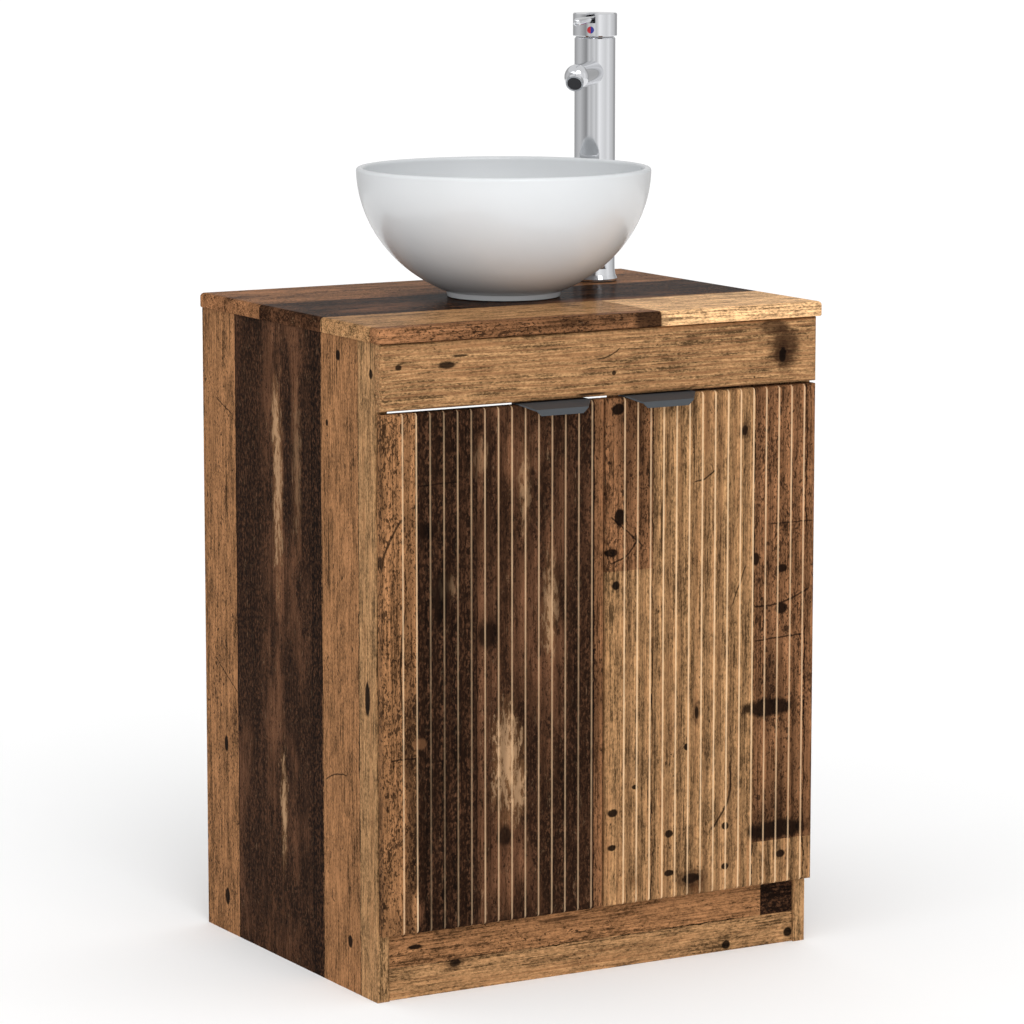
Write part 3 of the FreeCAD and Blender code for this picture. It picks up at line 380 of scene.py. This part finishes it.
def boards(name, piece, across, along, first, planks, seed, gain=1.0):
    """The decor of one piece: its first kind of plank, then where each other one starts."""
    low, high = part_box(piece)
    axis = AXES[across]
    span = (low[axis] - MARGIN, high[axis] + MARGIN)
    return Decor(name, across, along, span, [(span[0], first), *planks], seed, gain)


def dress(material, *names):
    """Give these pieces this material."""
    for name in names:
        slots = NODES[name].data.materials
        if len(slots):
            for i in range(len(slots)):
                slots[i] = material
        else:
            slots.append(material)


def side_decor():
    planks = [(-0.166, "tan"), (-0.0735, "black"), (-0.048, "dark"), (0.1525, "dashed")]
    d = boards("side_decor", "side_panel_left", "Y", "Z", "straw", planks, seed=3.1)
    d.patch(0.12, 0.55, 0.045, 0.30, 0.30)
    d.patch(0.035, 0.58, 0.022, 0.20, -0.40)
    d.patch(-0.006, 0.66, 0.018, 0.22, -0.25)
    d.patch(0.09, 0.12, 0.08, 0.12, -0.12)
    d.grow()
    d.flaky(0.040, 0.58, 0.016, 0.150, 0.6)
    d.flaky(0.046, 0.66, 0.014, 0.060, 0.5)
    d.flaky(-0.010, 0.62, 0.016, 0.120, 0.15)
    d.flaky(0.030, 0.19, 0.012, 0.090, 0.6)
    for u, v, half_u, half_v in ((-0.1166, 0.7566, 0.005, 0.0062), (-0.198, 0.743, 0.004, 0.006),
                                 (-0.088, 0.674, 0.003, 0.004), (0.187, 0.24, 0.005, 0.010),
                                 (0.188, 0.045, 0.006, 0.011), (-0.140, 0.060, 0.005, 0.008),
                                 (-0.186, 0.36, 0.006, 0.020)):
        d.spot(u, v, half_u, half_v, BLACK, 4.0, 0.5)
    d.scratch(0.206, 0.671, 0.045, 200, 0.0008)
    d.scratch(0.215, 0.345, 0.070, 210, 0.0008)
    d.scratch(-0.080, 0.245, 0.055, 165, 0.0008, 0.004)
    for u, v in ((0.19, 0.52), (0.18, 0.36), (-0.10, 0.10)):
        d.scratch(u, v, 0.014, 65, 0.0010, 0.003)
    return d.done()


def left_door_decor():
    planks = [(-0.2547, "black"), (-0.1750, "dark"), (-0.0161, "brown")]
    d = boards("left_door_decor", "door_left", "X", "Z", "speckled", planks, seed=11.7)
    d.patch(-0.235, 0.24, 0.05, 0.20, 0.35)
    d.patch(-0.20, 0.60, 0.06, 0.10, -0.22)
    d.patch(-0.13, 0.63, 0.05, 0.08, -0.25)
    d.patch(-0.115, 0.50, 0.04, 0.10, -0.20)
    d.patch(-0.035, 0.30, 0.03, 0.35, 0.25)
    d.patch(-0.160, 0.16, 0.06, 0.08, -0.15)
    d.patch(-0.252, 0.110, 0.012, 0.03, -0.9)
    d.grow()
    d.flaky(-0.134, 0.275, 0.026, 0.090, 0.7)
    d.flaky(-0.120, 0.240, 0.014, 0.060, 0.6)
    d.flaky(-0.075, 0.455, 0.014, 0.080, 0.45)
    d.flaky(-0.110, 0.600, 0.012, 0.070, 0.30)
    d.flaky(-0.215, 0.490, 0.022, 0.018, 0.2)
    d.flaky(-0.170, 0.640, 0.014, 0.030, 0.15)
    d.spot(-0.252, 0.308, 0.009, 0.006, BROWN, 2.0, 2.4, 0.5, 0.0)
    for u, v, half_u, half_v in ((-0.137, 0.186, 0.010, 0.012), (-0.160, 0.430, 0.014, 0.016),
                                 (-0.240, 0.560, 0.014, 0.010), (-0.222, 0.478, 0.012, 0.030)):
        d.spot(u, v, half_u, half_v, BLACK, 2.0, 1.4, 0.85, 0.4)
    d.scratch(-0.290, 0.292, 0.036, 0, 0.0010)
    d.scratch(-0.252, 0.612, 0.055, 2, 0.0009)
    d.scratch(-0.274, 0.575, 0.080, 250, 0.0014, 0.008)
    d.scratch(-0.270, 0.470, 0.120, 268, 0.0012, 0.004)
    return d


def right_door_decor():
    planks = [(0.0659, "sand"), (0.2101, "wear_and_highlight"), (0.2850, "brown")]
    d = boards("right_door_decor", "door_right", "X", "Z", "wear_and_highlight", planks, seed=24.3)
    d.block(d.low, 0.0659, 0.0, 0.490, "sand")
    d.block(0.2101, d.high, 0.0, 0.1371, "sand")
    d.patch(0.240, 0.30, 0.04, 0.10, 0.12)
    d.patch(0.240, 0.17, 0.06, 0.05, 0.18)
    d.patch(0.250, 0.60, 0.06, 0.12, -0.25)
    d.patch(0.125, 0.095, 0.06, 0.05, 0.55)
    d.patch(0.045, 0.110, 0.03, 0.03, 0.45)
    d.patch(0.060, 0.56, 0.02, 0.10, 0.08)
    d.grow()
    d.knot(0.1955, 0.6476, 0.012, 0.014)
    d.knot(0.1303, 0.3078, 0.007, 0.020)
    d.knot(0.1231, 0.1030, 0.030, 0.014)
    for u, v, half_u, half_v in ((0.0149, 0.4730, 0.0055, 0.0052), (0.0177, 0.6843, 0.009, 0.007),
                                 (0.0205, 0.5548, 0.008, 0.010), (0.0090, 0.5130, 0.009, 0.005),
                                 (0.2130, 0.4889, 0.006, 0.008), (0.2512, 0.4745, 0.008, 0.005),
                                 (0.2512, 0.4251, 0.009, 0.007), (0.0120, 0.1966, 0.007, 0.005),
                                 (0.0110, 0.1540, 0.006, 0.004), (0.0430, 0.2250, 0.004, 0.003),
                                 (0.0916, 0.1621, 0.006, 0.005), (0.1722, 0.1626, 0.005, 0.005),
                                 (0.1722, 0.1123, 0.005, 0.004), (0.2526, 0.1188, 0.007, 0.005),
                                 (0.0916, 0.1134, 0.007, 0.004), (0.1159, 0.2666, 0.003, 0.004)):
        d.spot(u, v, half_u, half_v, BLACK, 3.5, 0.7)
    d.spot(0.232, 0.304, 0.040, 0.011, BLACK, 2.5, 1.3, 0.92, 0.5)
    d.spot(0.247, 0.150, 0.042, 0.012, BLACK, 2.5, 1.5, 0.92, 0.5)
    d.scratch(0.008, 0.500, 0.045, 35, 0.0012, 0.006)
    d.scratch(0.008, 0.556, 0.060, 320, 0.0011)
    d.scratch(0.125, 0.590, 0.032, 22, 0.0010, 0.003)
    d.scratch(0.180, 0.435, 0.050, 68, 0.0010)
    d.scratch(0.212, 0.430, 0.080, 12, 0.0012, 0.006)
    d.scratch(0.152, 0.160, 0.085, 72, 0.0014, 0.012)
    d.scratch(0.212, 0.388, 0.070, 2, 0.0010)
    d.scratch(0.235, 0.530, 0.060, 0, 0.0008)
    d.spot(0.079, 0.540, 0.0014, 0.040, BLACK, 2.0, 0.8, 0.8)
    return d


def apron_decor():
    d = boards("apron_decor", "apron_panel", "Z", "X", "straw", [], seed=40.2)
    d.grow()
    swirl = d.noise(d.at, 2, 0.5, 41.0, (30, 4.5, 30), 0.2)
    rings = d.math("SINE", d.add(d.times(d.u, 900.0), d.times(swirl, 26.0)))
    d.colour = d.mix(d.colour, BROWN, d.times(d.steep(rings, 0.35, 0.9), 0.55))
    for v, u, half_v, half_u in ((-0.2143, 0.751, 0.011, 0.0042), (-0.2775, 0.7515, 0.004, 0.003),
                                 (0.0120, 0.7282, 0.003, 0.003), (-0.018, 0.7050, 0.020, 0.0016),
                                 (-0.1960, 0.7610, 0.010, 0.0016)):
        d.spot(u, v, half_u, half_v, SOOT, 2.5, 0.9, 0.9)
    d.spot(0.745, 0.252, 0.026, 0.020, BARK, 1.4, 1.6, 0.8, 0.3)
    d.knot(0.735, 0.250, 0.024, 0.012)
    d.spot(0.770, 0.238, 0.008, 0.024, BARK, 1.8, 1.6, 0.75, 0.2)
    d.scratch(0.757, 0.020, 0.034, 250, 0.0008, 0.003)
    return d.done(rough=0.44)


def plinth_decor():
    d = boards("plinth_decor", "plinth_board", "Z", "X", "sand", [(0.0385, "tan")], seed=55.5)
    d.block(0.0385, 0.09, 0.2374, 0.30, "black")
    d.grow()
    d.knot(0.034, -0.194, 0.013, 0.020)
    d.spot(0.061, -0.248, 0.003, 0.010, BLACK, 2.5, 1.0)
    d.spot(0.0075, 0.1876, 0.006, 0.006, BLACK, 3.5, 0.6)
    d.spot(0.070, -0.05, 0.002, 0.030, BARK, 2.0, 1.4, 0.7)
    d.spot(0.012, 0.278, 0.006, 0.006, BLACK, 3.0, 0.6)
    return d.done()


def top_decor():
    planks = [(-0.205, "sand"), (-0.085, "dark"), (0.075, "wear_and_highlight"), (0.170, "brown")]
    d = boards("top_decor", "top_board", "Y", "X", "wear_and_highlight", planks, seed=71.9, gain=1.25)
    d.block(d.low, -0.090, 0.075, 0.400, "pale")
    d.patch(-0.060, -0.10, 0.06, 0.12, 0.15)
    d.patch(0.06, 0.0, 0.06, 0.20, 0.12)
    d.grow()
    for u, v, half_u, half_v in ((-0.205, -0.18, 0.003, 0.03), (-0.12, 0.02, 0.003, 0.018),
                                 (-0.227, 0.06, 0.004, 0.02)):
        d.spot(u, v, half_u, half_v, SOOT, 2.0, 1.6, 0.8, 0.4)
    d.scratch(-0.210, -0.24, 0.05, 95, 0.0010, 0.004)
    return d.done(rough=0.12, relief=0.12, specular=0.0006)


def inner_decor():
    planks = [(-0.4, "tan"), (-0.21, "brown"), (-0.14, "sand"), (-0.02, "dark"), (0.07, "tan"),
              (0.19, "brown")]
    d = Decor("inner_decor", "Y", "X", (-0.4, 0.4), planks, seed=63.0)
    d.grow()
    return d.done()


def rails_decor():
    planks = [(0.0, "tan"), (0.13, "brown"), (0.71, "sand"), (0.75, "tan")]
    d = Decor("rail_decor", "Z", "X", (0.0, 0.8), planks, seed=88.0)
    d.grow()
    return d.done()


# -------------------------------------------------------------------- other materials
def painted(name, colour, rough, grain=0.12):
    """Paint, plastic or rubber, a little darker and paler by this share."""
    n = Net(name)
    fine = n.even(1400, seed=2.0, detail=3, rough=0.6)
    wide = n.even(30, seed=3.0)
    pale = tuple(min(1.0, c * (1 + grain)) for c in colour)
    deep = tuple(c * (1 - grain) for c in colour)
    n.set(Base_Color=n.mix(deep, pale, n.math("ADD", n.times(fine, 0.6), n.times(wide, 0.4), clamp=True)))
    n.set(Roughness=n.add(rough, n.times(wide, 0.1)))
    n.bump(fine, 0.12, 0.0002)
    return n.material


def metal(name, colour, rough, brushed=(60, 60, 60), wear=0.1):
    """Bare or plated metal, brushed by a noise of these scales per metre."""
    n = Net(name)
    brush = n.noise(n.xyz, 4, 0.6, 5.0, brushed)
    wide = n.even(25, seed=6.0)
    n.set(Metallic=1.0, Base_Color=n.mix(tuple(c * (1 - wear) for c in colour), colour, brush))
    n.set(Roughness=n.add(rough, n.times(wide, rough * 0.6)))
    n.bump(brush, 0.03, 0.0001)
    return n.material


def glaze(name):
    """White ceramic under a thin clear glaze."""
    n = Net(name)
    wide = n.even(18, seed=8.0, detail=3)
    fine = n.even(700, seed=9.0)
    n.set(Base_Color=n.mix(srgb(196, 199, 201), srgb(202, 204, 206), wide))
    n.set(Roughness=n.add(0.20, n.times(wide, 0.08)))
    n.shader.inputs["Coat Weight"].default_value = 0.12
    n.shader.inputs["Coat Roughness"].default_value = 0.03
    n.bump(n.add(n.times(wide, 0.9), n.times(fine, 0.03)), 0.05, 0.0008)
    return n.material


# from +X to the red side, across the line that splits the tap's dot, in degrees
SPLIT_TURN = -42.4


def indicator():
    """Red on the hot side and blue on the cold, split by a line through the tap's front."""
    n = Net("indicator_enamel")
    low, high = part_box("tap_indicator")
    middle = (low + high) / 2
    turn = math.radians(SPLIT_TURN)
    side = n.add(n.times(n.less(n.xyz[0], middle.x), math.cos(turn)),
                 n.times(n.less(n.xyz[1], middle.y), math.sin(turn)))
    fine = n.even(900, seed=4.0)
    red = n.mix(srgb(160, 20, 30), srgb(176, 30, 38), fine)
    blue = n.mix(srgb(20, 32, 112), srgb(28, 44, 130), fine)
    n.set(Base_Color=n.mix(red, blue, n.steep(side, 0.0, 8000.0)))
    n.set(Roughness=n.add(0.2, n.times(fine, 0.05)))
    return n.material


dress(side_decor(), "side_panel_left", "side_panel_right")
for door, decor in (("door_left", left_door_decor()), ("door_right", right_door_decor())):
    door_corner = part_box(door)[0]
    # painted highlights on the flutes' lips and painted shade in their valleys, on each door's front
    decor.flutes(door_corner.x + FLUTE_START, door_corner.y)
    dress(decor.done(), door)
dress(apron_decor(), "apron_panel")
dress(plinth_decor(), "plinth_board")
dress(top_decor(), "top_board")
dress(inner_decor(), "bottom_panel", "shelf")
dress(rails_decor(), "front_rail", "rear_top_rail", "rear_bottom_rail")
dress(painted("pull_paint", srgb(52, 56, 60), 0.42), "pull_left", "pull_right")
dress(painted("block_plastic", srgb(226, 225, 218), 0.5, grain=0.04), "corner_blocks")
dress(painted("bumper_gel", srgb(222, 224, 226), 0.3, grain=0.04), "door_bumpers_left", "door_bumpers_right")
dress(painted("seal_rubber", srgb(30, 30, 31), 0.6, grain=0.2), "basin_seal", "waste_seal", "tap_seal_ring")
dress(painted("aerator_plastic", srgb(34, 34, 37), 0.5, grain=0.2), "tap_aerator")
dress(painted("cartridge_plastic", srgb(150, 150, 152), 0.45, grain=0.1), "tap_cartridge")
zinc = metal("zinc_screw", srgb(205, 205, 208), 0.28, (200, 200, 200))
dress(zinc, "pull_screws_left", "pull_screws_right", "cup_screws_left", "cup_screws_right",
      "hinge_plate_screws", "panel_screws", "bracket_screws")
HINGE_PARTS = ("hinge_cup_", "hinge_arm_", "hinge_plate_left", "hinge_plate_right")
steel = metal("hinge_steel", srgb(198, 198, 200), 0.25, (40, 500, 500))
dress(steel, "hinge_pins_left", "hinge_pins_right",
      *[name for name in NODES if name.startswith(HINGE_PARTS)])
dress(metal("cam_zinc", srgb(176, 176, 178), 0.4), "cam_locks", "cam_bolts", "shelf_pins")
dress(metal("bracket_steel", srgb(196, 196, 200), 0.33, (30, 30, 700)), "wall_brackets")
dress(metal("stud_steel", srgb(186, 186, 190), 0.3), "tap_stud", "tap_horseshoe", "tap_stud_nut")
dress(metal("nut_brass", srgb(202, 166, 96), 0.3), "waste_nut")
dress(glaze("ceramic_glaze"), "basin")
chrome = metal("tap_chrome", srgb(222, 223, 226), 0.045, (15, 15, 15), wear=0.04)
dress(chrome, "waste_body", "waste_plug", "tap_body", "tap_spout", "tap_cap", "tap_lever")
dress(indicator(), "tap_indicator")

SHARP_ANGLE = math.radians(28)
for thing in NODES.values():
    thing.data.shade_smooth()
    thing.data.set_sharp_from_angle(angle=SHARP_ANGLE)


# ------------------------------------------------------------- floor, light and camera
FLOOR_SIZE = 160.0
FLOOR_BACK = 30.0


def stage_floor():
    """Pale paper, which runs far enough behind to be the whole background of the main view."""
    bpy.ops.mesh.primitive_plane_add(size=FLOOR_SIZE, location=(0, FLOOR_BACK, 0))
    floor = bpy.context.object
    floor.name = "floor"
    n = Net("floor_paper")
    soft = n.even(0.6, seed=0.0)
    n.set(Base_Color=n.mix(srgb(250, 250, 250), srgb(252, 252, 252), soft), Roughness=0.9)
    n.shader.inputs["Specular IOR Level"].default_value = 0.0
    floor.data.materials.append(n.material)


def light_world():
    """Even white light from all round."""
    world = bpy.data.worlds.new("studio")
    world.use_nodes = True
    bpy.context.scene.world = world
    back = next(n for n in world.node_tree.nodes if n.type == "BACKGROUND")
    back.inputs["Color"].default_value = (1.0, 1.0, 1.0, 1.0)
    back.inputs["Strength"].default_value = 0.80


# the studio's light and dark cards, by turn about the tap in degrees from +X. Their greys follow
# the light and dark bands on the photographed tap, read at 17 places across it and laid
# out round the tap by its mirror angles
CARDS = ((-180, 0.40), (-170, 0.32), (-152, 0.74), (-141, 0.61), (-124, 0.82), (-113, 0.65), (-96, 1.10),
         (-78, 0.93), (-59, 0.82), (-39, 0.98), (-23, 0.78), (-4, 0.68), (15, 0.42), (33, 0.40), (60, 0.75),
         (95, 0.39), (132, 0.61), (149, 0.65), (171, 0.475), (180, 0.40))
CARDS_RADIUS = 5.0
CARDS_HEIGHT = 4.0
CARDS_GLOW = 1.2


def stage_cards():
    """A ring of cards round the tap, which only gloss and chrome can see."""
    low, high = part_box("tap_body")
    middle = ((low.x + high.x) / 2, (low.y + high.y) / 2, CARDS_HEIGHT / 2)
    bpy.ops.mesh.primitive_cylinder_add(vertices=96, radius=CARDS_RADIUS, depth=CARDS_HEIGHT,
                                        end_fill_type="NOTHING", location=middle)
    ring = bpy.context.object
    ring.name = "studio_cards"
    for sight in ("camera", "diffuse", "transmission", "volume_scatter", "shadow"):
        setattr(ring, "visible_" + sight, False)
    n = Net("studio_cards")
    turn = n.math("DEGREES", n.math("ARCTAN2", n.xyz[1], n.xyz[0]))
    share = n.math("DIVIDE", n.add(turn, 180.0), 360.0)
    glow = n.ramp(share, [((at + 180) / 360, grey / CARDS_GLOW) for at, grey in CARDS])
    n.set(Base_Color=(0.0, 0.0, 0.0), Emission_Color=glow, Emission_Strength=CARDS_GLOW)
    n.shader.inputs["Specular IOR Level"].default_value = 0.0
    ring.data.materials.append(n.material)


def lamp(kind, name, energy, direction, **values):
    """A lamp that shines in this direction."""
    data = bpy.data.lights.new(name, kind)
    data.energy = energy
    for key, value in values.items():
        setattr(data, key, value)
    thing = bpy.data.objects.new(name, data)
    thing.rotation_euler = Vector(direction).to_track_quat("-Z", "Y").to_euler()
    bpy.context.scene.collection.objects.link(thing)
    return thing


CAMERA_PLACE = (-2.6596, -4.6187, 1.3610)
CAMERA_PITCH = 8.833
CAMERA_TURN = 29.949


def camera():
    """The photograph's camera, without its shift: this many degrees down and to the right."""
    data = bpy.data.cameras.new("camera")
    data.lens = 154.23
    data.sensor_width = 36.0
    data.clip_end = 300.0
    thing = bpy.data.objects.new("camera", data)
    thing.location = CAMERA_PLACE
    thing.rotation_euler = Euler((math.radians(90 - CAMERA_PITCH), 0.0, math.radians(-CAMERA_TURN)))
    bpy.context.scene.collection.objects.link(thing)
    bpy.context.scene.camera = thing


stage_floor()
light_world()
stage_cards()
lamp("SUN", "key", energy=1.12, direction=(0.15, 0.75, -0.62), angle=math.radians(45))
lamp("SUN", "side", energy=0.55, direction=(0.85, 0.30, -0.35), angle=math.radians(60))
fill = lamp("AREA", "fill", energy=30.0, direction=(0.49, 0.85, 0.16), size=1.2)
fill.location = (-1.6, -2.8, 0.35)
fill.visible_camera = fill.visible_glossy = False
camera()
view = bpy.context.scene.view_settings
view.view_transform = "Standard"
view.look = "None"
